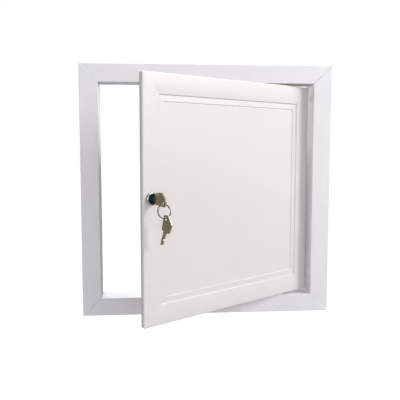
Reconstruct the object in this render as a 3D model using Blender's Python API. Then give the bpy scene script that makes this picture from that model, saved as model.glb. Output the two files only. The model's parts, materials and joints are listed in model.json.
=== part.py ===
"""Ceiling access panel: a mitred white frame with a moulded door on pivot pins, a cam lock and its keys.

Metres. X runs to the right and Z upwards across the opening, and Y runs back into the ceiling or wall.
The origin is the middle of the opening, on the plane where the frame's flange meets the ceiling.
The door is modelled shut and then swung open about its pins. Depths on the door are measured
backwards from the plane of its front face, and insets are measured in from its edges.
"""

import math

import bmesh
import bpy
from mathutils import Matrix, Vector

MM = 0.001

# Fit between pieces
SEAT_GAP = 0.3 * MM
RUNNING_GAP = 0.2 * MM
SCREW_GAP = 0.15 * MM

# Frame: four extruded members, mitred at the corners
OPENING = 300 * MM
FLANGE_WIDTH = 25 * MM
FLANGE_THICKNESS = 2 * MM
REVEAL_DEPTH = 38 * MM
REVEAL_WALL = 2 * MM
FRAME_EDGE_RADIUS = 0.8 * MM
EDGE_STEPS = 3

# Corner keys, which slide into a channel behind the flange
KEY_LEG_LENGTH = 34 * MM
KEY_LEG_WIDTH = 8 * MM
KEY_THICKNESS = 2.3 * MM
CHANNEL_LIP = 2.4 * MM
CHANNEL_WALL = 1 * MM
GRUB_RADIUS = 1.5 * MM
GRUB_FROM_END = 9 * MM
GRUB_SOCKET_RADIUS = 0.75 * MM
GRUB_SOCKET_DEPTH = 1.2 * MM

# Countersunk fixing holes in the jambs
FIXING_RADIUS = 2.3 * MM
FIXING_HEAD_RADIUS = 4.2 * MM
FIXING_HEAD_DEPTH = 1.5 * MM
FIXING_FROM_CORNER = 20 * MM
FIXING_DEPTH = 17 * MM

# Door leaf: a moulded shell with a crowned border and a sunk panel
DOOR_GAP = 3.3 * MM
SKIN = 2.5 * MM
SKIRT_DEPTH = 6 * MM
EDGE_RADIUS = 1.7 * MM
CORNER_RADIUS = 2.4 * MM
SHARP_CORNER = 0.2 * MM
CROWN_RISE = 0.4 * MM
CROWN_TOP_INSET = 12 * MM
BORDER_WIDTH = 24 * MM
BORDER_FALL = 0.8 * MM
OUTER_STEP_WIDTH = 1.4 * MM
OUTER_STEP_DEPTH = 2.1 * MM
BAND_WIDTH = 6.4 * MM
BAND_RISE = 0.5 * MM
INNER_STEP_WIDTH = 0.8 * MM
INNER_STEP_DEPTH = 1.3 * MM
CROWN_STEPS = 5
CORNER_STEPS = 3

# Ribs behind the door leaf
RIB_DEPTH = 12 * MM
RIB_WALL = 1.8 * MM
GUSSET_WALL = 1.44 * MM
RIB_INSET = 38.6 * MM
RIB_CELLS = 3

# Hinge: pins in blocks behind the door, turning in bushes in the frame
DOOR_OPEN = math.radians(36.5)
HINGE_INSET = 32.8 * MM
HINGE_DEPTH = 14 * MM
PIN_RADIUS = 2.5 * MM
PIN_TIP_RADIUS = 1.9 * MM
PIN_IN_BLOCK = 17 * MM
PIN_THROUGH = 1.2 * MM
COLLAR_RADIUS = 3.6 * MM
BARREL_RADIUS = 4 * MM
BARREL_LENGTH = 22 * MM
BLOCK_FROM_EDGE = 1 * MM
FOOT_LENGTH = 34 * MM
FOOT_FROM_EDGE = 4 * MM
FOOT_THICKNESS = 5 * MM
FOOT_OUTER_INSET = 8.5 * MM
BUSH_WALL = 1.2 * MM
BUSH_FLANGE_RADIUS = 5.5 * MM
BUSH_FLANGE_THICKNESS = 1 * MM

# Screws that hold the hinge blocks to bosses on the door leaf
BLOCK_SCREW_RADIUS = 1.5 * MM
BLOCK_SCREW_HEAD_RADIUS = 2.9 * MM
BLOCK_SCREW_HEAD_HEIGHT = 1.7 * MM
BLOCK_SCREW_INSET = 13 * MM
BLOCK_SCREWS_FROM_EDGE = (10 * MM, 31 * MM)
BOSS_RADIUS = 3.4 * MM
BOSS_DEPTH = 6.2 * MM
PILOT_BOTTOM = 1.6 * MM

# Door stops on the head and the sill
STOP_WIDTH = 16 * MM
STOP_REACH = 9 * MM
STOP_LENGTH = 14 * MM
STOP_NOSE = 4.5 * MM
STOP_SLOPE = 2 * MM
STOP_FOOT = 4.5 * MM
STOP_SCREW_RADIUS = 1.5 * MM
STOP_SCREW_HEAD_RADIUS = 2.8 * MM
STOP_SCREW_HEAD_HEIGHT = 1.5 * MM

# Cam lock. Heights are measured outwards from the door's front plane
LOCK_INSET = 11.3 * MM
LOCK_RAISE = 3.7 * MM
BEZEL_RADIUS = 7.8 * MM
BEZEL_HEIGHT = 3 * MM
BEZEL_RIM = 1.3 * MM
BEZEL_ROUND_WIDTH = 0.91 * MM
BEZEL_ROUND_HEIGHT = 1.89 * MM
BEZEL_STEPS = 4
LOCK_BODY_RADIUS = 5.2 * MM
LOCK_BODY_FLAT = 4.5 * MM
LOCK_BODY_LENGTH = 12.2 * MM
LOCK_BOSS_RADIUS = 9.4 * MM
LOCK_BOSS_DEPTH = 4.4 * MM
NUT_FLAT = 7 * MM
NUT_THICKNESS = 2.4 * MM
PLUG_HEAD_THICKNESS = 1.7 * MM
PLUG_CHAMFER = 0.6 * MM
SHANK_RADIUS = 3.6 * MM
TANG_HALF = 2.2 * MM
CAM_THICKNESS = 1.2 * MM
CAM_HALF_WIDTH = 4.5 * MM
CAM_LENGTH = 22 * MM
CAM_TIP_RADIUS = 3.6 * MM
CAM_STEPS = 12
SLOT_GAP = 1.6 * MM
CAM_SCREW_RADIUS = 1.2 * MM
CAM_SCREW_HEAD_RADIUS = 2.8 * MM
CAM_SCREW_HEAD_TOP_RADIUS = 2 * MM
CAM_SCREW_HEAD_HEIGHT = 1.3 * MM
CAM_SCREW_LENGTH = 3.4 * MM
WAFERS = 4
WAFER_THICKNESS = 1 * MM
WAFER_PITCH = 2.2 * MM
WAFER_HALF_WIDTH = 1.9 * MM
WAFER_HALF_HEIGHT = 3.2 * MM
FIRST_WAFER = 0.6 * MM

# Keys
KEY_PLATE = 2 * MM
BLADE_WIDTH = 3.7 * MM
BLADE_TIP_DEPTH = 9.8 * MM
BLADE_POINT = 1.6 * MM
BOW_START = 7 * MM
KEYWAY_GAP = 0.25 * MM
KEY_HOLE_RADIUS = 2.2 * MM
BOW_CORNER_RADIUS = 1.4 * MM
BOW_CORNER_STEPS = 4
BITTING_DEPTH = 0.7 * MM

# Split ring and the spare key on it
RING_RADIUS = 8 * MM
RING_WIRE = 0.48 * MM
RING_TURNS = 1.9
RING_YAW = math.radians(-8)
RING_LEAN = math.radians(10)
RING_STEPS = 30
RING_SIDES = 8
COIL_SHARE = 0.4  # of the coil's height, to one side of its middle, where it passes through a key
SPARE_LEAN = math.radians(22.4)
SPARE_ALONG_RING = math.radians(12)

# Sizes that follow from the ones above
HALF_OPENING = OPENING / 2
DOOR_HALF = HALF_OPENING - DOOR_GAP
FRONT = -FLANGE_THICKNESS
REVEAL_BACK = FRONT + REVEAL_DEPTH
PANEL_DEPTH = BORDER_FALL + OUTER_STEP_DEPTH - BAND_RISE + INNER_STEP_DEPTH
HINGE = Vector((DOOR_HALF - HINGE_INSET, FRONT + HINGE_DEPTH, 0))
LOCK = Vector((-DOOR_HALF + LOCK_INSET, FRONT, LOCK_RAISE))
BORE_RADIUS = SHANK_RADIUS + RUNNING_GAP
PLUG_HEAD_RADIUS = BEZEL_RADIUS - BEZEL_RIM - RUNNING_GAP
PLUG_FACE = BEZEL_HEIGHT + RUNNING_GAP
PLUG_SEAT = PLUG_FACE - PLUG_HEAD_THICKNESS
CAM_DEPTH = LOCK_BODY_LENGTH + SEAT_GAP
TANG_END = CAM_DEPTH + CAM_THICKNESS
KEYWAY_HALF_WIDTH = KEY_PLATE / 2 + KEYWAY_GAP
KEYWAY_HALF_HEIGHT = BLADE_WIDTH / 2 + KEYWAY_GAP
KEYWAY_BOTTOM = -(BLADE_TIP_DEPTH + SEAT_GAP)
RING_PITCH = 2 * RING_WIRE + RUNNING_GAP
CHANNEL_DEPTH = KEY_THICKNESS + 2 * SEAT_GAP
CHANNEL_END = REVEAL_WALL + KEY_LEG_WIDTH + 2 * SEAT_GAP

# Bow of a key: how far out from the door's plane each corner lies, and how far above the blade's axis
BOW_CORNERS = (
    (8.6 * MM, 7.0 * MM),
    (19.8 * MM, 8.4 * MM),
    (27.3 * MM, -1.2 * MM),
    (24.6 * MM, -8.0 * MM),
    (7.6 * MM, -5.8 * MM),
)
KEY_HOLE = Vector((0, -3.9 * MM, 22.1 * MM))
BITTING = (0.5, 1.0, 0.25, 0.75)


def clear_scene():
    """Removes everything that the opened file holds."""
    for existing in list(bpy.data.objects):
        bpy.data.objects.remove(existing, do_unlink=True)


def material(name, colour, roughness, metallic=0.0):
    """Makes a plain finish."""
    made = bpy.data.materials.new(name)
    made.use_nodes = True
    shader = made.node_tree.nodes["Principled BSDF"]
    shader.inputs["Base Color"].default_value = (*colour, 1)
    shader.inputs["Roughness"].default_value = roughness
    shader.inputs["Metallic"].default_value = metallic
    return made


def empty(name, place, parent=None, turn=(0, 0, 0)):
    """Makes an axis that pieces hang from."""
    axis = bpy.data.objects.new(name, None)
    axis.location = place
    axis.rotation_euler = turn
    axis.parent = parent
    axis.empty_display_size = 10 * MM
    bpy.context.scene.collection.objects.link(axis)
    return axis


def solid(name, mesh_builder, finish, parent=None, origin=None):
    """Makes an object from a bmesh. With an origin, the parent turns the mesh about that point."""
    bmesh.ops.remove_doubles(mesh_builder, verts=mesh_builder.verts, dist=0.001 * MM)
    bmesh.ops.recalc_face_normals(mesh_builder, faces=mesh_builder.faces)
    mesh = bpy.data.meshes.new(name)
    mesh_builder.to_mesh(mesh)
    mesh_builder.free()
    mesh.shade_smooth()
    mesh.set_sharp_from_angle(angle=math.radians(35))
    made = bpy.data.objects.new(name, mesh)
    bpy.context.scene.collection.objects.link(made)
    if finish:
        mesh.materials.append(finish)
    made.parent = parent
    if origin:
        made.matrix_parent_inverse = Matrix.Translation(-origin)
    return made


def loft(rings):
    """Joins rings of as many points each into a solid, with its two ends capped."""
    shape = bmesh.new()
    loops = [[shape.verts.new(point) for point in ring] for ring in rings]
    count = len(loops[0])
    for ring, following in zip(loops, loops[1:]):
        for i in range(count):
            j = (i + 1) % count
            shape.faces.new((ring[i], ring[j], following[j], following[i]))
    shape.faces.new(loops[0])
    shape.faces.new(loops[-1])
    return shape


def turned(profile, steps, closed=False):
    """Spins a profile of (radius, height) points about Z. A closed profile makes a ring."""
    shape = bmesh.new()
    points = [shape.verts.new((radius, 0, height)) for radius, height in profile]
    for start, end in zip(points, points[1:] + points[:1] if closed else points[1:]):
        shape.edges.new((start, end))
    bmesh.ops.spin(shape, geom=shape.verts[:] + shape.edges[:], cent=(0, 0, 0), axis=(0, 0, 1),
                   angle=math.tau, steps=steps, use_merge=True)
    return shape


def prism(outline, low, high):
    """Raises an outline of (x, y) points from one height to another along Z."""
    return loft([[(x, y, low) for x, y in outline], [(x, y, high) for x, y in outline]])


def block(low, high):
    """Makes a box between two opposite corners."""
    outline = [(low[0], low[1]), (high[0], low[1]), (high[0], high[1]), (low[0], high[1])]
    return prism(outline, low[2], high[2])


def circle(radius, steps, centre=(0, 0)):
    """Gives the points of a circle."""
    angles = [math.tau * i / steps for i in range(steps)]
    return [(centre[0] + radius * math.cos(a), centre[1] + radius * math.sin(a)) for a in angles]


def corner_arc(last, corner, following, radius, steps):
    """Gives the arc that rounds one corner of an outline."""
    here = Vector(corner)
    to_last = (Vector(last) - here).normalized()
    to_next = (Vector(following) - here).normalized()
    half = to_last.angle(to_next) / 2
    centre = here + (to_last + to_next).normalized() * radius / math.sin(half)
    start = here + to_last * radius / math.tan(half) - centre
    end = here + to_next * radius / math.tan(half) - centre
    sweep = start.angle_signed(end)
    return [tuple(centre + Matrix.Rotation(-sweep * step / steps, 2) @ start) for step in range(steps + 1)]


def rounded(corners, radius, steps):
    """Rounds all the corners of an outline."""
    outline = []
    for i, corner in enumerate(corners):
        outline += corner_arc(corners[i - 1], corner, corners[(i + 1) % len(corners)], radius, steps)
    return outline


def moved(shape, matrix):
    """Moves or turns a bmesh and gives it back."""
    bmesh.ops.transform(shape, matrix=matrix, verts=shape.verts)
    return shape


def guide(name, shape, parent=None, origin=None):
    """Makes a solid that only cuts or adds to others."""
    made = solid(name, shape, None, parent, origin)
    made.hide_render = True
    made.display_type = "WIRE"
    return made


def combine(target, tools, operation="DIFFERENCE"):
    """Cuts the tools out of the target, or adds them to it."""
    for tool in tools:
        modifier = target.modifiers.new(tool.name, "BOOLEAN")
        modifier.operation = operation
        modifier.solver = "EXACT"
        modifier.object = tool


def along(axis, place=(0, 0, 0)):
    """Gives the matrix that stands a shape made along Z on a place, along another axis."""
    return Matrix.Translation(place) @ Vector(axis).to_track_quat("Z", "Y").to_matrix().to_4x4()


# Frame

def member_profile():
    """Outline of a frame member: how far out from the opening, and how far back."""
    outer = FLANGE_WIDTH
    outline = []
    for centre, first in (((FRAME_EDGE_RADIUS, FRONT + FRAME_EDGE_RADIUS), 180),
                          ((outer - FRAME_EDGE_RADIUS, FRONT + FRAME_EDGE_RADIUS), 270)):
        for step in range(EDGE_STEPS + 1):
            a = math.radians(first + 90 * step / EDGE_STEPS)
            outline.append((centre[0] + FRAME_EDGE_RADIUS * math.cos(a),
                            centre[1] + FRAME_EDGE_RADIUS * math.sin(a)))
    lip_back = CHANNEL_DEPTH + CHANNEL_WALL
    outline += [
        (outer, 0),
        (CHANNEL_END + CHANNEL_WALL, 0),
        (CHANNEL_END + CHANNEL_WALL, lip_back),
        (CHANNEL_END - CHANNEL_LIP, lip_back),
        (CHANNEL_END - CHANNEL_LIP, CHANNEL_DEPTH),
        (CHANNEL_END, CHANNEL_DEPTH),
        (CHANNEL_END, 0),
        (REVEAL_WALL, 0),
        (REVEAL_WALL, CHANNEL_DEPTH),
        (REVEAL_WALL + CHANNEL_LIP, CHANNEL_DEPTH),
        (REVEAL_WALL + CHANNEL_LIP, lip_back),
        (REVEAL_WALL, lip_back),
        (REVEAL_WALL, REVEAL_BACK),
        (0, REVEAL_BACK),
    ]
    return outline


def frame_member(name, quarter, finish, cutters):
    """Makes one mitred member. Quarter 0 is the head, and each further quarter turns anticlockwise."""
    half_gap = SEAT_GAP / math.sqrt(2)
    ends = []
    for side in (-1, 1):
        ends.append([(side * (HALF_OPENING + out - half_gap), back, HALF_OPENING + out)
                     for out, back in member_profile()])
    shape = moved(loft(ends), Matrix.Rotation(-math.tau * quarter / 4, 4, "Y"))
    member = solid(name, shape, finish)
    combine(member, cutters)
    return member


def fixing_cutter(name, side, height):
    """Cuts a countersunk hole through a jamb from inside the opening."""
    inner = HALF_OPENING - SEAT_GAP
    outer = HALF_OPENING + REVEAL_WALL + SEAT_GAP
    profile = [(0, inner), (FIXING_HEAD_RADIUS, inner), (FIXING_HEAD_RADIUS, HALF_OPENING),
               (FIXING_RADIUS, HALF_OPENING + FIXING_HEAD_DEPTH), (FIXING_RADIUS, outer), (0, outer)]
    place = (0, FRONT + FIXING_DEPTH, height)
    return guide(name, moved(turned(profile, 20), along((side, 0, 0), place)))


def cam_slot_cutter():
    """Cuts the slot in the lock jamb that the cam swings into."""
    to_jamb = HALF_OPENING + LOCK.x
    reach = CAM_LENGTH + SLOT_GAP
    top = math.sqrt(reach ** 2 - to_jamb ** 2)
    low = (-HALF_OPENING - REVEAL_WALL - SEAT_GAP, FRONT + CAM_DEPTH - SLOT_GAP,
           LOCK.z - CAM_HALF_WIDTH - SLOT_GAP)
    high = (-HALF_OPENING + SEAT_GAP, FRONT + CAM_DEPTH + CAM_THICKNESS + SLOT_GAP, LOCK.z + top)
    return guide("cam_slot_cutter", block(low, high))


def bush_cutter(name, side):
    """Cuts the seat of a pivot bush in the head or the sill."""
    radius = PIN_RADIUS + RUNNING_GAP + BUSH_WALL + SEAT_GAP
    shape = prism(circle(radius, 24), HALF_OPENING - SEAT_GAP, HALF_OPENING + REVEAL_WALL + SEAT_GAP)
    return guide(name, moved(shape, along((0, 0, side), (HINGE.x, HINGE.y, 0))))


def stop_screw_cutter(name, side):
    """Cuts the hole for a door stop's screw."""
    shape = prism(circle(STOP_SCREW_RADIUS + SCREW_GAP, 16),
                  HALF_OPENING - SEAT_GAP, HALF_OPENING + REVEAL_WALL + SEAT_GAP)
    return guide(name, moved(shape, along((0, 0, side), (0, stop_screw_depth(), 0))))


def frame(finish):
    """Makes the four members with their holes."""
    height = HALF_OPENING - FIXING_FROM_CORNER
    frame_member("frame_top", 0, finish,
                 [bush_cutter("bush_cutter_top", 1), stop_screw_cutter("stop_cutter_top", 1)])
    frame_member("frame_lock_side", 1, finish,
                 [fixing_cutter("fixing_cutter_lock_low", -1, -height),
                  fixing_cutter("fixing_cutter_lock_high", -1, height), cam_slot_cutter()])
    frame_member("frame_bottom", 2, finish,
                 [bush_cutter("bush_cutter_bottom", -1), stop_screw_cutter("stop_cutter_bottom", -1)])
    frame_member("frame_hinge_side", 3, finish,
                 [fixing_cutter("fixing_cutter_hinge_low", 1, -height),
                  fixing_cutter("fixing_cutter_hinge_high", 1, height)])


def corner_key(name, side_x, side_z, key_finish, screw_finish):
    """Makes one flat corner key in the channels of two members, and its two grub screws."""
    start = HALF_OPENING + REVEAL_WALL + SEAT_GAP
    end = start + KEY_LEG_WIDTH
    back = end - KEY_LEG_LENGTH
    outline = [(back, start), (start, start), (start, back), (end, back), (end, end), (back, end)]
    placed = [(side_x * x, side_z * z) for x, z in outline]
    front = SEAT_GAP
    rings = [[(x, front + depth, z) for x, z in placed] for depth in (0, KEY_THICKNESS)]
    key = solid(name, loft(rings), key_finish)
    middle = start + KEY_LEG_WIDTH / 2
    screw_at = back + GRUB_FROM_END
    for letter, x, z in (("a", screw_at, middle), ("b", middle, screw_at)):
        place = (side_x * x, front, side_z * z)
        hole = prism(circle(GRUB_RADIUS + SCREW_GAP, 16), -SEAT_GAP, KEY_THICKNESS + SEAT_GAP)
        combine(key, [guide(f"{name}_hole_{letter}", moved(hole, along((0, 1, 0), place)))])
        bottom = KEY_THICKNESS - GRUB_SOCKET_DEPTH
        profile = [(0, 0), (GRUB_RADIUS, 0), (GRUB_RADIUS, KEY_THICKNESS),
                   (GRUB_SOCKET_RADIUS, KEY_THICKNESS), (GRUB_SOCKET_RADIUS, bottom), (0, bottom)]
        corner = name.removeprefix("corner_key_")
        solid(f"corner_screw_{corner}_{letter}", moved(turned(profile, 12), along((0, 1, 0), place)),
              screw_finish)


def corner_keys(key_finish, screw_finish):
    """Makes the keys of the four corners."""
    for height, side_z in (("top", 1), ("bottom", -1)):
        for hand, side_x in (("lock", -1), ("hinge", 1)):
            corner_key(f"corner_key_{height}_{hand}", side_x, side_z, key_finish, screw_finish)


def pivot_bush(name, side, finish):
    """Makes the flanged bush that a hinge pin turns in."""
    bore = PIN_RADIUS + RUNNING_GAP
    outer = bore + BUSH_WALL
    face = HALF_OPENING - SEAT_GAP
    profile = [(bore, face - BUSH_FLANGE_THICKNESS), (BUSH_FLANGE_RADIUS, face - BUSH_FLANGE_THICKNESS),
               (BUSH_FLANGE_RADIUS, face), (outer, face), (outer, HALF_OPENING + REVEAL_WALL),
               (bore, HALF_OPENING + REVEAL_WALL)]
    shape = moved(turned(profile, 24, closed=True), along((0, 0, side), (HINGE.x, HINGE.y, 0)))
    solid(name, shape, finish)


def stop_screw_depth():
    """Gives how far back the screw of a door stop sits."""
    return FRONT + SKIRT_DEPTH + SEAT_GAP + (STOP_NOSE + STOP_SLOPE + STOP_LENGTH) / 2


def door_stop(height, side, stop_finish, screw_finish):
    """Makes a stepped stop behind the door's skirt, and its screw into the head or the sill."""
    front = FRONT + SKIRT_DEPTH + SEAT_GAP
    foot = HALF_OPENING - SEAT_GAP
    outline = [(front, foot), (front, foot - STOP_REACH), (front + STOP_NOSE, foot - STOP_REACH),
               (front + STOP_NOSE + STOP_SLOPE, foot - STOP_FOOT), (front + STOP_LENGTH, foot - STOP_FOOT),
               (front + STOP_LENGTH, foot)]
    half = STOP_WIDTH / 2
    rings = [[(x, y, side * z) for y, z in outline] for x in (-half, half)]
    stop = solid(f"door_stop_{height}", loft(rings), stop_finish)
    place = (0, stop_screw_depth(), 0)
    hole = prism(circle(STOP_SCREW_RADIUS + SCREW_GAP, 16), foot - STOP_REACH, HALF_OPENING)
    combine(stop, [guide(f"stop_hole_{height}", moved(hole, along((0, 0, side), place)))])
    head = foot - STOP_FOOT - SCREW_GAP
    profile = [(0, head - STOP_SCREW_HEAD_HEIGHT),
               (STOP_SCREW_HEAD_RADIUS - STOP_SCREW_HEAD_HEIGHT / 2, head - STOP_SCREW_HEAD_HEIGHT),
               (STOP_SCREW_HEAD_RADIUS, head - STOP_SCREW_HEAD_HEIGHT / 2), (STOP_SCREW_HEAD_RADIUS, head),
               (STOP_SCREW_RADIUS, head), (STOP_SCREW_RADIUS, HALF_OPENING + REVEAL_WALL),
               (0, HALF_OPENING + REVEAL_WALL + STOP_SCREW_RADIUS)]
    solid(f"door_stop_screw_{height}", moved(turned(profile, 16), along((0, 0, side), place)), screw_finish)


# Door leaf

def front_profile():
    """Front of the door from its skirt to its panel, as (inset, depth) points."""
    profile = [(0, SKIRT_DEPTH)]
    edge_start = CROWN_RISE
    for step in range(EDGE_STEPS + 1):
        a = math.pi / 2 * step / EDGE_STEPS
        profile.append((EDGE_RADIUS * (1 - math.cos(a)), edge_start + EDGE_RADIUS * (1 - math.sin(a))))
    for step in range(1, CROWN_STEPS + 1):
        share = step / CROWN_STEPS
        inset = EDGE_RADIUS + (CROWN_TOP_INSET - EDGE_RADIUS) * share
        profile.append((inset, CROWN_RISE * (1 - share) ** 2))
    for step in range(1, CROWN_STEPS + 1):
        share = step / CROWN_STEPS
        inset = CROWN_TOP_INSET + (BORDER_WIDTH - CROWN_TOP_INSET) * share
        profile.append((inset, BORDER_FALL * share ** 2))
    inset, depth = profile[-1]
    for width, fall in ((OUTER_STEP_WIDTH, OUTER_STEP_DEPTH), (BAND_WIDTH, -BAND_RISE),
                        (INNER_STEP_WIDTH, INNER_STEP_DEPTH)):
        inset += width
        depth += fall
        profile.append((inset, depth))
    return profile


def back_profile():
    """Back of the door's skin from its skirt to its panel: one wall behind the front."""
    profile = [(SKIN, SKIRT_DEPTH)]
    for inset, depth in front_profile():
        if inset > SKIN and depth < SKIRT_DEPTH:
            profile.append((max(inset, SKIN + SHARP_CORNER), depth + SKIN))
    return profile


def square_ring(inset, depth):
    """Points of a square with round corners, at an inset from the door's edge."""
    half = DOOR_HALF - inset
    radius = max(CORNER_RADIUS - inset, SHARP_CORNER)
    corners = [(-half, -half), (half, -half), (half, half), (-half, half)]
    return [(x, FRONT + depth, z) for x, z in rounded(corners, radius, CORNER_STEPS)]


def rib_lattice():
    """Square rib with cross ribs in it, standing behind the panel."""
    outer = DOOR_HALF - RIB_INSET
    cell = (2 * outer - RIB_WALL) / RIB_CELLS
    stations = []
    for i in range(RIB_CELLS + 1):
        stations += [-outer + i * cell, -outer + i * cell + RIB_WALL]
    shape = bmesh.new()
    grid = [[shape.verts.new((x, FRONT + RIB_DEPTH, z)) for z in stations] for x in stations]
    for i in range(len(stations) - 1):
        for j in range(len(stations) - 1):
            if i % 2 and j % 2:
                continue
            shape.faces.new((grid[i][j], grid[i + 1][j], grid[i + 1][j + 1], grid[i][j + 1]))
    raised = bmesh.ops.extrude_face_region(shape, geom=shape.faces[:])
    lifted = [item for item in raised["geom"] if isinstance(item, bmesh.types.BMVert)]
    into_skin = PANEL_DEPTH + SKIN / 2 - RIB_DEPTH
    bmesh.ops.translate(shape, vec=(0, into_skin, 0), verts=lifted)
    return shape


def gusset(position, quarter):
    """Thin rib that runs on from a cross rib to the skirt, following the skin."""
    into_rib = RIB_INSET + RIB_WALL / 2
    outline = [(SKIN / 2, SKIRT_DEPTH)]
    outline += [(max(inset, SKIN / 2), depth + SKIN / 2) for inset, depth in front_profile()[2:]]
    outline += [(into_rib, PANEL_DEPTH + SKIN / 2), (into_rib, RIB_DEPTH - SEAT_GAP)]
    rings = [[(position + side * GUSSET_WALL / 2, FRONT + depth, DOOR_HALF - inset)
              for inset, depth in outline] for side in (-1, 1)]
    return moved(loft(rings), Matrix.Rotation(-math.tau * quarter / 4, 4, "Y"))


def lock_hole(grow):
    """Outline of the lock's body: a circle with two flats, grown by a clearance."""
    radius = LOCK_BODY_RADIUS + grow
    flat = LOCK_BODY_FLAT + grow
    outline = []
    for x, y in circle(radius, 32):
        outline.append((max(-flat, min(flat, x)), y))
    return outline


def door_leaf(hinge_axis, finish):
    """Makes the moulded leaf: skin, skirt, ribs, gussets, bosses and holes."""
    rings = [square_ring(inset, depth) for inset, depth in reversed(front_profile())]
    rings += [square_ring(inset, depth) for inset, depth in back_profile()]
    leaf = solid("door_leaf", loft(rings), finish, hinge_axis, HINGE)
    added = [guide("rib_lattice", rib_lattice(), hinge_axis, HINGE)]
    outer = DOOR_HALF - RIB_INSET
    cell = (2 * outer - RIB_WALL) / RIB_CELLS
    for quarter in range(4):
        for i in range(1, RIB_CELLS):
            position = -outer + i * cell + RIB_WALL / 2
            added.append(guide(f"gusset_{quarter}_{i}", gusset(position, quarter), hinge_axis, HINGE))
    lock_boss = prism(circle(LOCK_BOSS_RADIUS, 28), -LOCK_BOSS_DEPTH, -SKIN / 2)
    added.append(guide("lock_boss", moved(lock_boss, along((0, -1, 0), LOCK)), hinge_axis, HINGE))
    cut = [guide("lock_hole", moved(prism(lock_hole(SEAT_GAP), -LOCK_BOSS_DEPTH - SKIN, SKIN),
                                    along_lock()), hinge_axis, HINGE)]
    for height, side in (("top", 1), ("bottom", -1)):
        for letter, from_edge in zip("ab", BLOCK_SCREWS_FROM_EDGE):
            place = Vector((DOOR_HALF - BLOCK_SCREW_INSET, FRONT, side * (DOOR_HALF - from_edge)))
            boss = prism(circle(BOSS_RADIUS, 16), SKIN / 2, BOSS_DEPTH)
            added.append(guide(f"boss_{height}_{letter}", moved(boss, along((0, 1, 0), place)),
                               hinge_axis, HINGE))
            pilot = prism(circle(BLOCK_SCREW_RADIUS + SCREW_GAP, 12), PILOT_BOTTOM, BOSS_DEPTH + SKIN)
            cut.append(guide(f"pilot_{height}_{letter}", moved(pilot, along((0, 1, 0), place)),
                             hinge_axis, HINGE))
    combine(leaf, added, "UNION")
    combine(leaf, cut)


# Hinges

def hinge_block(height, side, hinge_axis, finish, screw_finish, pin_finish):
    """Makes a hinge block, its two screws and its pin, at the top or the bottom of the door."""
    top = DOOR_HALF - BLOCK_FROM_EDGE
    foot_front = FRONT + BOSS_DEPTH + SEAT_GAP
    foot_back = foot_front + FOOT_THICKNESS
    foot_top = DOOR_HALF - FOOT_FROM_EDGE
    foot = block((HINGE.x, foot_front, foot_top - FOOT_LENGTH),
                 (DOOR_HALF - FOOT_OUTER_INSET, foot_back, foot_top))
    barrel = moved(prism(circle(BARREL_RADIUS, 28), top - BARREL_LENGTH, top),
                   Matrix.Translation((HINGE.x, HINGE.y, 0)))
    bore = moved(prism(circle(PIN_RADIUS + SCREW_GAP, 28), top - PIN_IN_BLOCK - SEAT_GAP, top + SKIN),
                 Matrix.Translation((HINGE.x, HINGE.y, 0)))
    flip = Matrix.Scale(side, 4, (0, 0, 1))
    name = f"hinge_block_{height}"
    body = solid(name, moved(foot, flip), finish, hinge_axis, HINGE)
    combine(body, [guide(f"{name}_barrel", moved(barrel, flip), hinge_axis, HINGE)], "UNION")
    cut = [guide(f"{name}_bore", moved(bore, flip), hinge_axis, HINGE)]
    head = foot_back - FRONT + SCREW_GAP
    for letter, from_edge in zip("ab", BLOCK_SCREWS_FROM_EDGE):
        place = Vector((DOOR_HALF - BLOCK_SCREW_INSET, FRONT, side * (DOOR_HALF - from_edge)))
        hole = prism(circle(BLOCK_SCREW_RADIUS + SCREW_GAP, 16), BOSS_DEPTH, head + SKIN)
        cut.append(guide(f"{name}_hole_{letter}", moved(hole, along((0, 1, 0), place)), hinge_axis, HINGE))
        chamfer = BLOCK_SCREW_HEAD_HEIGHT / 2
        tip = PILOT_BOTTOM + SEAT_GAP
        profile = [(0, tip), (BLOCK_SCREW_RADIUS, tip + BLOCK_SCREW_RADIUS / 2), (BLOCK_SCREW_RADIUS, head),
                   (BLOCK_SCREW_HEAD_RADIUS, head), (BLOCK_SCREW_HEAD_RADIUS, head + chamfer),
                   (BLOCK_SCREW_HEAD_RADIUS - chamfer, head + 2 * chamfer), (0, head + 2 * chamfer)]
        solid(f"hinge_screw_{height}_{letter}", moved(turned(profile, 16), along((0, 1, 0), place)),
              screw_finish, hinge_axis, HINGE)
    combine(body, cut)
    collar_low = top + SEAT_GAP
    collar_high = HALF_OPENING - 2 * SEAT_GAP - BUSH_FLANGE_THICKNESS
    pin_top = HALF_OPENING + REVEAL_WALL + PIN_THROUGH
    profile = [(0, top - PIN_IN_BLOCK), (PIN_RADIUS, top - PIN_IN_BLOCK), (PIN_RADIUS, collar_low),
               (COLLAR_RADIUS, collar_low), (COLLAR_RADIUS, collar_high), (PIN_RADIUS, collar_high),
               (PIN_RADIUS, pin_top + PIN_TIP_RADIUS - PIN_RADIUS), (PIN_TIP_RADIUS, pin_top), (0, pin_top)]
    pin = moved(turned(profile, 28), Matrix.Translation((HINGE.x, HINGE.y, 0)))
    solid(f"hinge_pin_{height}", moved(pin, flip), pin_finish, hinge_axis, HINGE)


# Lock, in its own axes: X towards the hinge, Y up and Z out of the door

def along_lock():
    """Stands a shape of the lock's own axes on the shut door."""
    return Matrix.Translation(LOCK) @ Matrix.Rotation(math.pi / 2, 4, "X")


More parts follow.
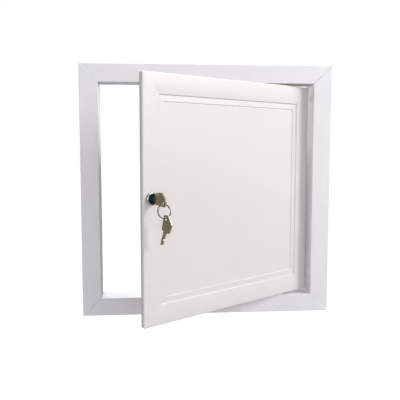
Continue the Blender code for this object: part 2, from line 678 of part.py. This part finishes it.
def lock_housing(lock_axis, finish, nut_finish):
    """Makes the bezel and body in one, and the nut behind the door."""
    rim_inner = BEZEL_RADIUS - BEZEL_RIM
    low = SEAT_GAP
    profile = [(BORE_RADIUS, -LOCK_BODY_LENGTH), (LOCK_BODY_RADIUS, -LOCK_BODY_LENGTH),
               (LOCK_BODY_RADIUS, low), (BEZEL_RADIUS, low)]
    for step in range(BEZEL_STEPS + 1):
        a = math.pi / 2 * step / BEZEL_STEPS
        profile.append((BEZEL_RADIUS - BEZEL_ROUND_WIDTH * (1 - math.cos(a)),
                        BEZEL_HEIGHT - BEZEL_ROUND_HEIGHT * (1 - math.sin(a))))
    profile += [(rim_inner, BEZEL_HEIGHT), (rim_inner, PLUG_SEAT - RUNNING_GAP),
                (BORE_RADIUS, PLUG_SEAT - RUNNING_GAP)]
    housing = solid("lock_housing", turned(profile, 40, closed=True), finish, lock_axis)
    for side in (-1, 1):
        flat = side * LOCK_BODY_FLAT
        corner = side * BEZEL_RADIUS
        low_x, high_x = sorted((flat, corner))
        shape = block((low_x, -BEZEL_RADIUS, -2 * LOCK_BODY_LENGTH), (high_x, BEZEL_RADIUS, 0))
        combine(housing, [guide(f"housing_flat_{'left' if side < 0 else 'right'}", shape, lock_axis)])
    nut_front = -(LOCK_BOSS_DEPTH + SEAT_GAP)
    hexagon = [(x / math.cos(math.pi / 6), y / math.cos(math.pi / 6)) for x, y in circle(NUT_FLAT, 6)]
    nut = solid("lock_nut", prism(hexagon, nut_front - NUT_THICKNESS, nut_front), nut_finish, lock_axis)
    bore = prism(circle(LOCK_BODY_RADIUS + RUNNING_GAP, 40), nut_front - 2 * NUT_THICKNESS, 0)
    combine(nut, [guide("nut_bore", bore, lock_axis)])


def lock_plug(lock_axis, finish):
    """Makes the plug with its keyway, wafer slots and square tang."""
    head = PLUG_HEAD_RADIUS
    profile = [(0, -LOCK_BODY_LENGTH), (SHANK_RADIUS, -LOCK_BODY_LENGTH), (SHANK_RADIUS, PLUG_SEAT),
               (head, PLUG_SEAT), (head, PLUG_FACE - PLUG_CHAMFER), (head - PLUG_CHAMFER, PLUG_FACE),
               (0, PLUG_FACE)]
    plug = solid("lock_plug", turned(profile, 36), finish, lock_axis)
    tang = block((-TANG_HALF, -TANG_HALF, -TANG_END), (TANG_HALF, TANG_HALF, SKIN - LOCK_BODY_LENGTH))
    combine(plug, [guide("plug_tang", tang, lock_axis)], "UNION")
    cut = [guide("keyway", block((-KEYWAY_HALF_WIDTH, -KEYWAY_HALF_HEIGHT, KEYWAY_BOTTOM),
                                 (KEYWAY_HALF_WIDTH, KEYWAY_HALF_HEIGHT, 2 * PLUG_FACE)), lock_axis),
           guide("tang_hole", prism(circle(CAM_SCREW_RADIUS + SCREW_GAP, 16), -2 * TANG_END,
                                    KEYWAY_BOTTOM - CAM_SCREW_RADIUS), lock_axis)]
    for i in range(WAFERS):
        top = PLUG_SEAT - FIRST_WAFER - i * WAFER_PITCH
        half_width = WAFER_HALF_WIDTH + SCREW_GAP
        slot = block((-half_width, -2 * SHANK_RADIUS, top - WAFER_THICKNESS - 2 * SCREW_GAP),
                     (half_width, 2 * SHANK_RADIUS, top))
        cut.append(guide(f"wafer_slot_{i + 1}", slot, lock_axis))
    combine(plug, cut)


def wafers(lock_axis, finish):
    """Makes the wafers that the key's blade passes through."""
    for i in range(WAFERS):
        top = PLUG_SEAT - FIRST_WAFER - i * WAFER_PITCH - SCREW_GAP
        wafer = solid(f"lock_wafer_{i + 1}",
                      block((-WAFER_HALF_WIDTH, -WAFER_HALF_HEIGHT, top - WAFER_THICKNESS),
                            (WAFER_HALF_WIDTH, WAFER_HALF_HEIGHT, top)), finish, lock_axis)
        window = block((-KEYWAY_HALF_WIDTH, -KEYWAY_HALF_HEIGHT, top - 2 * WAFER_THICKNESS),
                       (KEYWAY_HALF_WIDTH, KEYWAY_HALF_HEIGHT, top + WAFER_THICKNESS))
        combine(wafer, [guide(f"wafer_window_{i + 1}", window, lock_axis)])


def lock_cam(lock_axis, finish, screw_finish):
    """Makes the cam, which points up when unlocked, and its screw."""
    front = -CAM_DEPTH
    tip = (0, CAM_LENGTH - CAM_TIP_RADIUS)
    outline = circle(CAM_HALF_WIDTH, 2 * CAM_STEPS)[CAM_STEPS:] + [(CAM_HALF_WIDTH, 0)]
    outline += circle(CAM_TIP_RADIUS, 2 * CAM_STEPS, tip)[:CAM_STEPS + 1]
    cam = solid("lock_cam", prism(outline, front - CAM_THICKNESS, front), finish, lock_axis)
    half = TANG_HALF + SCREW_GAP
    square = block((-half, -half, 2 * front), (half, half, 0))
    combine(cam, [guide("cam_square", square, lock_axis)])
    under_head = -(TANG_END + SCREW_GAP)
    end = under_head - CAM_SCREW_HEAD_HEIGHT
    tip_height = under_head + CAM_SCREW_LENGTH - SCREW_GAP
    profile = [(0, end), (CAM_SCREW_HEAD_TOP_RADIUS, end),
               (CAM_SCREW_HEAD_RADIUS, end + CAM_SCREW_HEAD_HEIGHT / 2),
               (CAM_SCREW_HEAD_RADIUS, under_head), (CAM_SCREW_RADIUS, under_head),
               (CAM_SCREW_RADIUS, tip_height - CAM_SCREW_RADIUS), (0, tip_height - CAM_SCREW_RADIUS / 2)]
    solid("cam_screw", turned(profile, 16), screw_finish, lock_axis)


# Keys

def key_outline():
    """Outline of a key as (height, outwards) points, from its shoulder down the blade and round the bow."""
    half = BLADE_WIDTH / 2
    lower, upper = (-half, BOW_START), (half, BOW_START)
    outline = [lower, (-half, -BLADE_TIP_DEPTH + BLADE_POINT), (0, -BLADE_TIP_DEPTH),
               (half, -BLADE_TIP_DEPTH + BLADE_POINT)]
    for i in reversed(range(WAFERS)):
        middle = PLUG_SEAT - FIRST_WAFER - i * WAFER_PITCH - WAFER_THICKNESS / 2
        cut = half - BITTING_DEPTH * BITTING[i]
        outline += [(cut, middle - WAFER_PITCH / 8), (cut, middle + WAFER_PITCH / 8),
                    (half, middle + WAFER_PITCH / 2)]
    outline.append(upper)
    bow = [(height, out) for out, height in BOW_CORNERS]
    path = [upper, *bow, lower]
    for last, corner, following in zip(path, bow, path[2:]):
        outline += corner_arc(last, corner, following, BOW_CORNER_RADIUS, BOW_CORNER_STEPS)
    return outline


def key_shape():
    """Makes the flat key in the lock's axes, as if it were in the lock."""
    half = KEY_PLATE / 2
    return loft([[(x, height, out) for height, out in key_outline()] for x in (-half, half)])


def flat_key(name, parent, matrix, finish):
    """Makes a key with the hole that the ring goes through."""
    key = solid(name, moved(key_shape(), matrix), finish, parent)
    hole = prism(circle(KEY_HOLE_RADIUS, 24), -2 * KEY_PLATE, 2 * KEY_PLATE)
    place = Matrix.Translation(KEY_HOLE) @ Matrix.Rotation(math.pi / 2, 4, "Y")
    combine(key, [guide(f"{name}_hole", moved(hole, matrix @ place), parent)])
    return key


def ring_turn():
    """Gives how the ring is turned: a little towards the lock's side, and with its foot away from the door."""
    return Matrix.Rotation(-RING_LEAN, 4, "X") @ Matrix.Rotation(RING_YAW, 4, "Y")


def split_ring(parent, finish):
    """Makes the ring as a coil of nearly two turns, hanging from its axis, with its ends at one side."""
    steps = round(RING_STEPS * RING_TURNS)
    start = -math.pi * RING_TURNS
    rings = []
    for i in range(steps + 1):
        turn = RING_TURNS * i / steps
        angle = start + math.tau * turn
        outwards = Vector((math.cos(angle), math.sin(angle), 0))
        centre = outwards * RING_RADIUS + Vector((0, -RING_RADIUS, RING_PITCH * (turn - RING_TURNS / 2)))
        rings.append([centre + outwards * x + Vector((0, 0, z)) for x, z in circle(RING_WIRE, RING_SIDES)])
    solid("key_ring", moved(loft(rings), ring_turn()), finish, parent)


def keys(lock_axis, key_finish, ring_finish):
    """Makes the key in the lock, the ring through its bow and the spare key on the ring."""
    flat_key("key", lock_axis, Matrix.Identity(4), key_finish)
    coil_reach = math.hypot(RING_PITCH * RING_TURNS * COIL_SHARE + RING_WIRE, RING_WIRE)
    slack = KEY_HOLE_RADIUS - RUNNING_GAP - coil_reach
    ring_axis = empty("ring_axis", KEY_HOLE - Vector((0, slack, 0)), lock_axis)
    split_ring(ring_axis, ring_finish)
    foot = RING_RADIUS * Vector((math.sin(SPARE_ALONG_RING), -1 - math.cos(SPARE_ALONG_RING), 0))
    spare_axis = empty("spare_axis", ring_turn() @ foot, ring_axis)
    spare_slack = slack - math.tan(SPARE_ALONG_RING) * KEY_PLATE / 2
    flip = Matrix.Rotation(math.pi, 4, "Z")
    hang = Matrix.Rotation(-math.pi / 2 + SPARE_LEAN, 4, "X")
    matrix = Matrix.Translation((0, -spare_slack, 0)) @ hang @ flip @ Matrix.Translation(-KEY_HOLE)
    flat_key("spare_key", spare_axis, matrix, key_finish)


def build():
    """Builds the whole panel."""
    clear_scene()
    frame_white = material("frame_white", (0.80, 0.80, 0.83), 0.4)
    door_white = material("door_white", (0.85, 0.84, 0.83), 0.35)
    nylon = material("nylon", (0.78, 0.78, 0.76), 0.5)
    zinc = material("zinc", (0.55, 0.56, 0.58), 0.4, 1.0)
    chrome = material("chrome", (0.80, 0.81, 0.83), 0.1, 1.0)
    plug_dark = material("plug_dark", (0.02, 0.04, 0.08), 0.15, 0.6)
    key_metal = material("key_metal", (0.62, 0.57, 0.47), 0.3, 1.0)
    frame(frame_white)
    corner_keys(zinc, zinc)
    for height, side in (("top", 1), ("bottom", -1)):
        pivot_bush(f"pivot_bush_{height}", side, nylon)
        door_stop(height, side, nylon, zinc)
    hinge_axis = empty("hinge_axis", HINGE, turn=(0, 0, DOOR_OPEN))
    door_leaf(hinge_axis, door_white)
    for height, side in (("top", 1), ("bottom", -1)):
        hinge_block(height, side, hinge_axis, nylon, zinc, zinc)
    lock_axis = empty("lock_axis", LOCK - HINGE, hinge_axis, turn=(math.pi / 2, 0, 0))
    lock_housing(lock_axis, chrome, zinc)
    lock_plug(lock_axis, plug_dark)
    wafers(lock_axis, key_metal)
    lock_cam(lock_axis, zinc, zinc)
    keys(lock_axis, key_metal, chrome)


build()
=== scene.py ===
"""Ceiling access panel, swung open: the finishes of its frame, door, lock and keys, and a soft studio."""

import json
import math

import bpy
from mathutils import Matrix, Vector

MM = 0.001

# Where the painted shade line along the back edge of the skirt starts and ends with the door shut,
# measured back from the hinge pins' axis
SKIRT_SHADE_START = -10.2 * MM
SKIRT_SHADE_END = -7.2 * MM

EDGE_WIDTHS = {"frame_white": 0.08 * MM, "door_white": 0.35 * MM, "nylon": 0.25 * MM, "zinc": 0.1 * MM,
               "chrome": 0.08 * MM, "dark_chrome": 0.1 * MM, "key_metal": 0.18 * MM}

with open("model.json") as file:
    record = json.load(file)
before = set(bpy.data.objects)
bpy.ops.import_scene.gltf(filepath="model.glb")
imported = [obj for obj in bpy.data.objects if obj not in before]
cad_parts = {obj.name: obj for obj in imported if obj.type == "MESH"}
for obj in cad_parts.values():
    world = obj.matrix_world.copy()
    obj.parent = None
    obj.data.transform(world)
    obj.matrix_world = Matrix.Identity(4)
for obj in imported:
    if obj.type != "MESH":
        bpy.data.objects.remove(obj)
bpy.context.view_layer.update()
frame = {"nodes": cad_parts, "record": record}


# Node helpers

class Finish:
    """A material with what is the same all over already set on its shader."""

    def __init__(self, name, roughness, metallic=0.0, **sockets):
        self.material = bpy.data.materials.new(name)
        self.material.use_nodes = True
        self.nodes = self.material.node_tree.nodes
        self.links = self.material.node_tree.links
        self.shader = self.nodes["Principled BSDF"]
        self.shader.inputs["Roughness"].default_value = roughness
        self.shader.inputs["Metallic"].default_value = metallic
        for socket, value in sockets.items():
            self.shader.inputs[socket.replace("_", " ")].default_value = value

    def place(self, centre=(0, 0, 0), turn=(0, 0, 0), stretch=(1, 1, 1)):
        """Gives the piece's own coordinates, centred, turned and stretched for a pattern."""
        coordinates = self.nodes.new("ShaderNodeTexCoord")
        mapping = self.nodes.new("ShaderNodeMapping")
        mapping.vector_type = "TEXTURE"
        mapping.inputs["Location"].default_value = centre
        mapping.inputs["Rotation"].default_value = turn
        mapping.inputs["Scale"].default_value = stretch
        self.links.new(coordinates.outputs["Object"], mapping.inputs["Vector"])
        return mapping.outputs["Vector"]

    def noise(self, vector, patch, detail, distortion=0.0):
        """Gives a noise whose patches are about as large as said, in metres."""
        made = self.nodes.new("ShaderNodeTexNoise")
        made.inputs["Scale"].default_value = 1 / patch
        made.inputs["Detail"].default_value = detail
        made.inputs["Distortion"].default_value = distortion
        self.links.new(vector, made.inputs["Vector"])
        return made.outputs["Fac"]

    def spread(self, value, low, high, start=0.3, end=0.7):
        """Spreads a value's range from start to end over low to high."""
        made = self.nodes.new("ShaderNodeMapRange")
        for socket, number in (("From Min", start), ("From Max", end), ("To Min", low), ("To Max", high)):
            made.inputs[socket].default_value = number
        self.links.new(value, made.inputs["Value"])
        return made.outputs["Result"]

    def shades(self, value, *stops):
        """Turns a value into colours at (position, colour) stops."""
        made = self.nodes.new("ShaderNodeValToRGB")
        elements = made.color_ramp.elements
        for extra in stops[2:]:
            elements.new(extra[0])
        for element, (position, colour) in zip(elements, sorted(stops)):
            element.position = position
            element.color = (*colour, 1)
        self.links.new(value, made.inputs["Fac"])
        return made.outputs["Color"]

    def along(self, vector, axis):
        """Gives one coordinate of a vector."""
        made = self.nodes.new("ShaderNodeSeparateXYZ")
        self.links.new(vector, made.inputs["Vector"])
        return made.outputs[axis]

    def tint(self, colour, other):
        """Multiplies a colour by another colour."""
        made = self.nodes.new("ShaderNodeVectorMath")
        made.operation = "MULTIPLY"
        self.links.new(colour, made.inputs[0])
        self.links.new(other, made.inputs[1])
        return made.outputs["Vector"]

    def darken(self, colour, value):
        """Multiplies a colour by a value from 0 to 1."""
        made = self.nodes.new("ShaderNodeVectorMath")
        made.operation = "SCALE"
        self.links.new(colour, made.inputs["Vector"])
        self.links.new(value, made.inputs["Scale"])
        return made.outputs["Vector"]

    def relief(self, height, depth, strength, over=None):
        """Turns a height into bumps of a depth in metres, on top of any bumps before."""
        made = self.nodes.new("ShaderNodeBump")
        made.inputs["Strength"].default_value = strength
        made.inputs["Distance"].default_value = depth
        self.links.new(height, made.inputs["Height"])
        if over:
            self.links.new(over, made.inputs["Normal"])
        return made.outputs["Normal"]

    def upward(self):
        """Gives how far a face looks up, from -1 to 1."""
        coordinates = self.nodes.new("ShaderNodeTexCoord")
        return self.along(coordinates.outputs["Normal"], "Z")

    def arrises(self, reach):
        """Gives 1 on the open faces, falling towards 0 where a face turns into the next."""
        rounded = self.nodes.new("ShaderNodeBevel")
        rounded.samples = 8
        rounded.inputs["Radius"].default_value = reach
        geometry = self.nodes.new("ShaderNodeNewGeometry")
        dot = self.nodes.new("ShaderNodeVectorMath")
        dot.operation = "DOT_PRODUCT"
        self.links.new(rounded.outputs["Normal"], dot.inputs[0])
        self.links.new(geometry.outputs["Normal"], dot.inputs[1])
        return dot.outputs["Value"]

    def corners(self, reach):
        """Gives 1 in the open, falling towards 0 in grooves and corners."""
        made = self.nodes.new("ShaderNodeAmbientOcclusion")
        made.samples = 8
        made.inputs["Distance"].default_value = reach
        return made.outputs["AO"]

    def into(self, socket, value):
        """Feeds a value into one of the shader's sockets."""
        self.links.new(value, self.shader.inputs[socket])


# Finishes

def powder_coat():
    """Satin white powder coat of the frame: fine orange peel, a cool tint, and painted shade darkening its
    corners and recesses, together with a little dirt there.
    """
    made = Finish("frame_powder_coat", 0.42, IOR=1.45)
    place = made.place()
    tone = made.shades(made.spread(made.noise(place, 60 * MM, 3), 0, 1),
                       (0.0, (0.76, 0.745, 0.787)), (1.0, (0.785, 0.77, 0.812)))
    # Painted shade, with a little dirt: the colour darkens by up to 7 percent in corners and recesses.
    dust_and_corner_shade = made.spread(made.corners(5 * MM), 0.93, 1.0, 0.35, 0.95)
    made.into("Base Color", made.darken(tone, dust_and_corner_shade))
    made.into("Roughness", made.spread(made.noise(place, 14 * MM, 3), 0.37, 0.46))
    peel = made.relief(made.noise(place, 1.1 * MM, 2), 0.02 * MM, 0.6)
    made.into("Normal", made.relief(made.noise(place, 35 * MM, 1), 0.1 * MM, 0.3, peel))
    return made.material


def moulded_white(hinge):
    """Warm white moulded plastic of the door: an etched grain, slow ripples, painted shade with a little
    dirt in its corners and grooves, and a painted shade line along the back edge of its skirt.
    """
    made = Finish("door_moulded_white", 0.36, IOR=1.5)
    place = made.place()
    tone = made.shades(made.spread(made.noise(place, 80 * MM, 2), 0, 1),
                       (0.0, (0.74, 0.699, 0.693)), (1.0, (0.761, 0.72, 0.714)))
    # Painted shade, with a little dirt: the colour darkens by up to 6 percent in corners and grooves.
    dust_and_corner_shade = made.spread(made.corners(4 * MM), 0.94, 1.0, 0.3, 0.9)
    closed = made.place(centre=hinge["pos_m"], turn=(0, 0, -math.radians(hinge["range_deg"][0])))
    to_the_back = made.spread(made.along(closed, "Y"), 0, 1, SKIRT_SHADE_START, SKIRT_SHADE_END)
    # Painted shade: a band along the back edge of the skirt is darkened to three quarters.
    skirt_edge_shade = made.shades(to_the_back, (0.0, (1, 1, 1)), (0.2, (0.75, 0.74, 0.73)), (0.4, (0.75, 0.74, 0.73)),
                      (0.55, (1, 1, 1)))
    made.into("Base Color", made.darken(made.tint(tone, skirt_edge_shade), dust_and_corner_shade))
    made.into("Roughness", made.spread(made.noise(place, 9 * MM, 4), 0.31, 0.42))
    grain = made.relief(made.noise(place, 0.5 * MM, 3), 0.012 * MM, 0.6)
    made.into("Normal", made.relief(made.noise(place, 50 * MM, 1), 0.2 * MM, 0.3, grain))
    return made.material


def nylon():
    """Matt off-white nylon of the bushes, hinge blocks and stops."""
    made = Finish("matt_nylon", 0.55, IOR=1.53)
    place = made.place()
    made.into("Base Color", made.shades(made.spread(made.noise(place, 6 * MM, 3), 0, 1),
                                        (0.0, (0.68, 0.675, 0.65)), (1.0, (0.74, 0.735, 0.71))))
    made.into("Roughness", made.spread(made.noise(place, 2 * MM, 2), 0.48, 0.62))
    made.into("Normal", made.relief(made.noise(place, 0.4 * MM, 3), 0.02 * MM, 0.7))
    return made.material


def zinc_plate():
    """Bright zinc plate: faint spangle, a blue cast and duller patches."""
    made = Finish("zinc_plate", 0.35, 1.0)
    place = made.place()
    cells = made.nodes.new("ShaderNodeTexVoronoi")
    cells.inputs["Scale"].default_value = 1 / (2.2 * MM)
    made.links.new(place, cells.inputs["Vector"])
    made.into("Base Color", made.shades(cells.outputs["Distance"], (0.1, (0.60, 0.62, 0.66)),
                                        (0.7, (0.50, 0.515, 0.54))))
    made.into("Roughness", made.spread(made.noise(place, 3 * MM, 4), 0.26, 0.46))
    made.into("Normal", made.relief(made.noise(place, 0.35 * MM, 3), 0.01 * MM, 0.6))
    return made.material


def chrome_plate():
    """Polished chrome on the lock's bezel, with faint handling haze and painted shade in its recesses."""
    made = Finish("chrome_plate", 0.1, 1.0)
    place = made.place()
    tone = made.shades(made.spread(made.noise(place, 5 * MM, 2), 0, 1),
                       (0.0, (0.54, 0.53, 0.52)), (1.0, (0.64, 0.63, 0.62)))
    # Painted shade: the colour darkens towards 0.15 in recesses, such as where the bezel meets the door.
    made.into("Base Color", made.darken(tone, made.spread(made.corners(2 * MM), 0.15, 1, 0.45, 0.95)))
    made.into("Roughness", made.spread(made.noise(place, 1.5 * MM, 4), 0.06, 0.17))
    made.into("Normal", made.relief(made.noise(place, 0.8 * MM, 2), 0.004 * MM, 0.5))
    return made.material


def dark_plug(centre, turn):
    """Plated plug, its dark blue-black colour a painted reflection of a dim room, with fine turned rings
    on its face and scuffs round the keyway.
    """
    made = Finish("dark_plug_plate", 0.22, 0.85)
    place = made.place(centre=centre, turn=turn)
    rings = made.nodes.new("ShaderNodeTexWave")
    rings.wave_type = "RINGS"
    rings.rings_direction = "Z"
    rings.inputs["Scale"].default_value = 1 / (1.2 * MM)
    rings.inputs["Distortion"].default_value = 0.4
    made.links.new(place, rings.inputs["Vector"])
    # Painted reflection: the plug's colour is held dark blue-black, as its polished face looks mirroring a
    # dim room.
    made.into("Base Color", made.shades(made.spread(made.noise(place, 1.2 * MM, 4), 0, 1),
                                        (0.0, (0.004, 0.03, 0.055)), (1.0, (0.012, 0.06, 0.1))))
    made.into("Roughness", made.spread(made.noise(place, 0.9 * MM, 4), 0.14, 0.32))
    made.into("Normal", made.relief(rings.outputs["Fac"], 0.01 * MM, 0.3))
    return made.material


def steel_wire():
    """Spring steel of the split ring: polished, with a little wear, its colour held far darker than the
    chrome as a painted dark reflection.
    """
    made = Finish("steel_wire", 0.14, 1.0)
    place = made.place()
    # Painted reflection: the steel's colour is held very dark, as the ring looks mirroring a dim room.
    made.into("Base Color", made.shades(made.spread(made.noise(place, 2 * MM, 3), 0, 1),
                                        (0.0, (0.09, 0.075, 0.055)), (1.0, (0.2, 0.175, 0.14))))
    made.into("Roughness", made.spread(made.noise(place, 0.6 * MM, 3), 0.08, 0.22))
    made.into("Normal", made.relief(made.noise(place, 0.3 * MM, 2), 0.004 * MM, 0.5))
    return made.material


def key_plate(centre, turn):
    """Old nickel-plated key brass: drawn lines, patches of wear, a painted highlight on the faces that
    look up, and arrises darkened in colour.
    """
    made = Finish("key_nickel", 0.3, 1.0)
    drawn = made.place(centre=centre, turn=turn, stretch=(1, 1, 14))
    even = made.place()
    # Painted highlight: faces that look up get a paler, brighter colour, as if lit from above.
    plate = made.shades(made.upward(), (0.2, (0.52, 0.43, 0.27)), (0.45, (0.68, 0.65, 0.56)))
    worn_and_top_lit = made.darken(plate, made.spread(made.noise(even, 3.5 * MM, 4, 0.6), 0.72, 1))
    # The colour darkens, down to a tenth, where a face turns into the next.
    made.into("Base Color", made.darken(worn_and_top_lit, made.spread(made.arrises(0.6 * MM), 0.1, 1, 0.85, 0.99)))
    made.into("Roughness", made.spread(made.noise(drawn, 0.35 * MM, 3), 0.22, 0.42))
    made.into("Normal", made.relief(made.noise(drawn, 0.25 * MM, 2), 0.012 * MM, 0.6))
    return made.material


def joint_named(name):
    """Gives one of the panel's joints."""
    return next(joint for joint in frame["record"]["behaviour"]["joints"] if joint["name"] == name)


lock = joint_named("lock_turn")
lock_turn = Vector(lock["axis"]).to_track_quat("Z", "Y").to_euler()
finishes = {
    "frame_white": powder_coat(),
    "door_white": moulded_white(joint_named("door_swing")),
    "nylon": nylon(),
    "zinc": zinc_plate(),
    "chrome": chrome_plate(),
    "dark_chrome": dark_plug(lock["pos_m"], lock_turn),
    "key_metal": key_plate(lock["pos_m"], lock_turn),
}
own_finishes = {"key_ring": steel_wire()}


# Softly rounded edges on the pieces as built

def smooth_between_edges():
    """Makes the node group that joins a piece's faces and shades it smooth between its sharp edges."""
    group = bpy.data.node_groups.new("joined_and_smooth", "GeometryNodeTree")
    group.interface.new_socket("Geometry", in_out="INPUT", socket_type="NodeSocketGeometry")
    group.interface.new_socket("Geometry", in_out="OUTPUT", socket_type="NodeSocketGeometry")
    nodes, links = group.nodes, group.links
    start = nodes.new("NodeGroupInput")
    finish = nodes.new("NodeGroupOutput")
    merge = nodes.new("GeometryNodeMergeByDistance")
    merge.inputs["Distance"].default_value = 0.002 * MM
    faces = nodes.new("GeometryNodeSetShadeSmooth")
    edges = nodes.new("GeometryNodeSetShadeSmooth")
    edges.domain = "EDGE"
    angle = nodes.new("GeometryNodeInputMeshEdgeAngle")
    sharp = nodes.new("FunctionNodeCompare")
    sharp.operation = "GREATER_THAN"
    sharp.inputs["B"].default_value = math.radians(32)
    edges.inputs["Shade Smooth"].default_value = False
    links.new(start.outputs["Geometry"], merge.inputs["Geometry"])
    links.new(merge.outputs["Geometry"], faces.inputs["Geometry"])
    links.new(faces.outputs["Geometry"], edges.inputs["Geometry"])
    links.new(angle.outputs["Unsigned Angle"], sharp.inputs["A"])
    links.new(sharp.outputs["Result"], edges.inputs["Selection"])
    links.new(edges.outputs["Geometry"], finish.inputs["Geometry"])
    return group


joined_and_smooth = smooth_between_edges()
slots = {item["node"]: item["material_slot"] for item in frame["record"]["subparts"]}
for name, piece in frame["nodes"].items():
    slot = slots[name]
    for material_slot in piece.material_slots:
        material_slot.material = own_finishes.get(name, finishes[slot])
    smooth = piece.modifiers.new("joined and smooth", "NODES")
    smooth.node_group = joined_and_smooth
    edge = piece.modifiers.new("softened edges", "BEVEL")
    edge.width = EDGE_WIDTHS[slot]
    edge.segments = 2
    edge.limit_method = "ANGLE"
    edge.angle_limit = math.radians(40)
    edge.use_clamp_overlap = True
    flat = piece.modifiers.new("flat faces kept flat", "WEIGHTED_NORMAL")
    flat.mode = "FACE_AREA"
    flat.keep_sharp = True


# Studio

def ramp(tree, value, start, end, low, high):
    """Goes smoothly from low to high as a value goes from start to end."""
    made = tree.nodes.new("ShaderNodeMapRange")
    made.interpolation_type = "SMOOTHSTEP"
    for socket, number in (("From Min", start), ("From Max", end), ("To Min", low), ("To Max", high)):
        made.inputs[socket].default_value = number
    tree.links.new(value, made.inputs["Value"])
    return made.outputs["Result"]


def combine(tree, operation, first, second):
    """Combines two values by the operation named."""
    made = tree.nodes.new("ShaderNodeMath")
    made.operation = operation
    tree.links.new(first, made.inputs[0])
    tree.links.new(second, made.inputs[1])
    return made.outputs[0]


def depth_of(tree, coordinates):
    """Gives how far back something lies, in the coordinates named."""
    place = tree.nodes.new("ShaderNodeTexCoord")
    split = tree.nodes.new("ShaderNodeSeparateXYZ")
    tree.links.new(place.outputs[coordinates], split.inputs["Vector"])
    return split.outputs["Y"]


def pale_floor(front, back):
    """Lays the pale floor: white to the eye but for the panel's shadow, and dimmer to what mirrors it."""
    bpy.ops.object.select_all(action="DESELECT")
    bpy.ops.mesh.primitive_plane_add(size=30, location=(0, 0, -0.62))
    floor = bpy.context.object
    floor.name = "floor"
    bpy.ops.object.transform_apply(location=True, rotation=True, scale=True)
    made = bpy.data.materials.new("pale_floor")
    made.use_nodes = True
    tree = made.node_tree
    nodes, links = tree.nodes, tree.links
    shader = nodes["Principled BSDF"]
    shader.inputs["Base Color"].default_value = (0.4, 0.4, 0.4, 1)
    shader.inputs["Roughness"].default_value = 0.9
    path = nodes.new("ShaderNodeLightPath")
    depth = depth_of(tree, "Object")
    room = ramp(tree, depth, -0.3, 0.5, front, back)
    mirrored = combine(tree, "MULTIPLY", path.outputs["Is Glossy Ray"], room)
    seen = combine(tree, "MAXIMUM", path.outputs["Is Camera Ray"], mirrored)
    strength = combine(tree, "MULTIPLY", seen, ramp(tree, depth, 1, 4, 0.88, 1))
    glow = nodes.new("ShaderNodeEmission")
    links.new(strength, glow.inputs["Strength"])
    both = nodes.new("ShaderNodeAddShader")
    links.new(shader.outputs[0], both.inputs[0])
    links.new(glow.outputs[0], both.inputs[1])
    links.new(both.outputs[0], nodes["Material Output"].inputs["Surface"])
    floor.data.materials.append(made)


def white_world(fill, front, back):
    """Sets an even fill, a white backdrop, and a dimmer room for the metal to mirror."""
    world = bpy.data.worlds.new("white_world")
    world.use_nodes = True
    tree = world.node_tree
    background = tree.nodes["Background"]
    background.inputs["Color"].default_value = (1, 1, 1, 1)
    path = tree.nodes.new("ShaderNodeLightPath")
    seen = combine(tree, "MAXIMUM", path.outputs["Is Camera Ray"], path.outputs["Is Transmission Ray"])
    room = ramp(tree, depth_of(tree, "Generated"), -0.35, 0.35, front, back)
    mirrored = combine(tree, "MULTIPLY", path.outputs["Is Glossy Ray"], room)
    strength = combine(tree, "MAXIMUM", ramp(tree, seen, 0, 1, fill, 1), mirrored)
    tree.links.new(strength, background.inputs["Strength"])
    bpy.context.scene.world = world


def softbox(name, place, width, height, power):
    """Hangs a soft rectangular lamp that points at the panel's middle."""
    light = bpy.data.lights.new(name, "AREA")
    light.shape = "RECTANGLE"
    light.size = width
    light.size_y = height
    light.energy = power
    lamp = bpy.data.objects.new(name, light)
    lamp.location = place
    lamp.rotation_euler = (-Vector(place)).to_track_quat("-Z", "Y").to_euler()
    bpy.context.scene.collection.objects.link(lamp)


def camera():
    """Sets the camera where the photograph was taken from."""
    made = bpy.data.cameras.new("camera")
    made.lens = 51.4
    made.sensor_width = 36
    made.clip_start = 0.01
    eye = bpy.data.objects.new("camera", made)
    place = Vector((-0.07812, -0.79667, 0.06484))
    right = Vector((0.99639, -0.08492, 0.00086))
    up = Vector((0.0073, 0.09583, 0.99537))
    turn = Matrix((right, up, right.cross(up))).transposed()
    eye.matrix_world = Matrix.Translation(place) @ turn.to_4x4()
    bpy.context.scene.collection.objects.link(eye)
    bpy.context.scene.camera = eye


pale_floor(front=0.1, back=0.3)
white_world(fill=0.04, front=0.1, back=0.3)
softbox("front_softbox", (0.2, -2.0, 0.4), 1.6, 1.2, 16)
softbox("left_softbox", (-1.3, -1.3, 0.0), 1.0, 1.0, 6.6)
softbox("right_softbox", (1.1, -0.75, 0.6), 0.5, 0.5, 9)
softbox("far_right_softbox", (1.5, -0.5, 0.6), 1.0, 1.0, 8.5)
softbox("overhead_softbox", (0.0, 0.15, 1.3), 1.2, 0.8, 20)
softbox("back_softbox", (-0.2, 1.8, 0.5), 1.4, 1.0, 12)
camera()
bpy.context.scene.view_settings.view_transform = "Standard"
